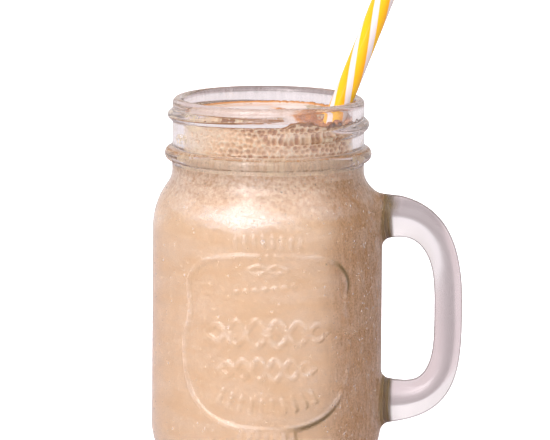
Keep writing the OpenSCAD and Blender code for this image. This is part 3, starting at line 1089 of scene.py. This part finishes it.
place = add(tree, "TexCoord").outputs["Object"]
distance = add(tree, "VectorMath", {"operation": "LENGTH"}, i0=place).outputs["Value"]
way = add(tree, "SeparateXYZ", i0=add(tree, "VectorMath", {"operation": "NORMALIZE"}, i0=place).outputs[0])
# Painted light for rays that are not from the camera: dimmer near the jar as a painted shadow, brighter
# towards the handle's side, on the left, in front and far away.
towards_handle = scaled(tree, way.outputs["X"], 0.1, 0.7, 0.48, 0.86)
on_the_left = scaled(tree, add(tree, "SeparateXYZ", i0=place).outputs["X"], 0.01, -0.04, 0.0, 0.85)
in_front = scaled(tree, way.outputs["Y"], -0.3, 0.3, 0.85, 0.0, smooth=False)
far_away = scaled(tree, distance, 0.42, 0.75, 0.0, 0.98)
glow = reckon(tree, "MAXIMUM", towards_handle, on_the_left)
glow = reckon(tree, "MAXIMUM", reckon(tree, "MAXIMUM", glow, in_front), far_away)
tint = add(tree, "Mix", {"data_type": "RGBA"}, i0=far_away, i6="#F8E8EC", i7="#FFFAFE")
toned = add(tree, "Emission", Color=tint.outputs[2], Strength=glow)
direct = add(tree, "LightPath").outputs["Is Camera Ray"]
both = add(tree, "MixShader", i0=direct, i1=toned.outputs[0], i2=plain.outputs[0])
show(tree, both.outputs[0])
floor.data.materials.append(paper)

# %% [markdown]
# ## Studio light
# A studio for glass is a bright tent with a darker side, which draws the edges. Area lamps would
# do, but soft shapes in the world's light are simpler: a surround that falls off at the sides, a
# bright back, a band overhead in front, a narrow upright strip that draws the long highlights, and
# a key light from the upper left.

# %% World
world = bpy.data.worlds.new("studio")
bpy.context.scene.world = world
world.use_nodes = True
sky = world.node_tree
sky.nodes.clear()
sky_out = sky.nodes.new("ShaderNodeOutputWorld")
ray = add(sky, "TexCoord").outputs["Generated"]
direction = add(sky, "SeparateXYZ", i0=ray).outputs


def along(axis):
    """How far a ray points along an axis: the cosine of the angle between them."""
    return add(sky, "VectorMath", {"operation": "DOT_PRODUCT"}, i0=ray, i1=axis).outputs["Value"]


def facing(turn, height):
    """The direction at a turn to the right of straight ahead, and a height, both in degrees."""
    turn, height = math.radians(turn), math.radians(height)
    return (math.sin(turn) * math.cos(height), -math.cos(turn) * math.cos(height), math.sin(height))


sides = scaled(sky, direction["X"], 0.4, 0.95, 0.86, 0.2)
back_wall = scaled(sky, direction["Y"], 0.3, 0.8, 0.0, 0.94)
surround = reckon(sky, "MAXIMUM", sides, back_wall)

above, below = scaled(sky, direction["Z"], 0.25, 0.45), scaled(sky, direction["Z"], 0.95, 0.75)
ceiling = reckon(sky, "MULTIPLY", above, below)
in_front = scaled(sky, direction["Y"], 0.3, -0.4, 0.0, 1.55)
light = reckon(sky, "MULTIPLY_ADD", ceiling, in_front, surround)

strip_turn, strip_strength = -31, 2.5
aside = add(sky, "Math", {"operation": "ABSOLUTE"}, i0=along(facing(90 + strip_turn, 0))).outputs[0]
strip = reckon(sky, "MULTIPLY", scaled(sky, aside, 0.11, 0.05), scaled(sky, direction["Z"], -0.02, 0.06))
strip = reckon(sky, "MULTIPLY", strip, reckon(sky, "LESS_THAN", direction["Y"], 0.0))
light = reckon(sky, "MULTIPLY_ADD", strip, strip_strength, light)

key_edge, key_core = math.cos(math.radians(30)), math.cos(math.radians(7))
key = scaled(sky, along(facing(-24, 35)), key_edge, key_core, 0.0, 3.4)
light = reckon(sky, "ADD", light, key)

tent = add(sky, "Background", Color="#FFFAFC", Strength=light)
backdrop = add(sky, "Background", Color="#FFFFFF", Strength=1.05)
seen = add(sky, "LightPath").outputs["Is Camera Ray"]
both = add(sky, "MixShader", i0=seen, i1=tent.outputs[0], i2=backdrop.outputs[0])
sky.links.new(both.outputs[0], sky_out.inputs["Surface"])
print("world with", len(sky.nodes), "nodes")

# %% [markdown]
# ## Camera
# A long lens from three metres away keeps the jar's sides upright. Looking down by 8.4 degrees
# opens the mouth into a narrow ellipse.

# %% Camera
sensor, distance, frame_width = 36.0, 3.0, 0.1906
lens = sensor * distance / frame_width
elevation, roll = math.radians(8.4), math.radians(0.44)
aim = Vector((2.53, 0, 89.1)) * MM
camera_data = bpy.data.cameras.new("camera")
camera_data.lens, camera_data.sensor_width = lens, sensor
camera = bpy.data.objects.new("camera", camera_data)
back = Vector((0, -math.cos(elevation), math.sin(elevation)))
turn = Matrix.Rotation(math.pi / 2 - elevation, 4, "X") @ Matrix.Rotation(roll, 4, "Z")
camera.matrix_world = Matrix.Translation(aim + back * distance) @ turn

scene = bpy.context.scene
scene.collection.objects.link(camera)
scene.camera = camera
scene.view_settings.view_transform = "Standard"
scene.cycles.max_bounces = 16
scene.cycles.transmission_bounces = 16
scene.cycles.diffuse_bounces = 4
scene.cycles.glossy_bounces = 6
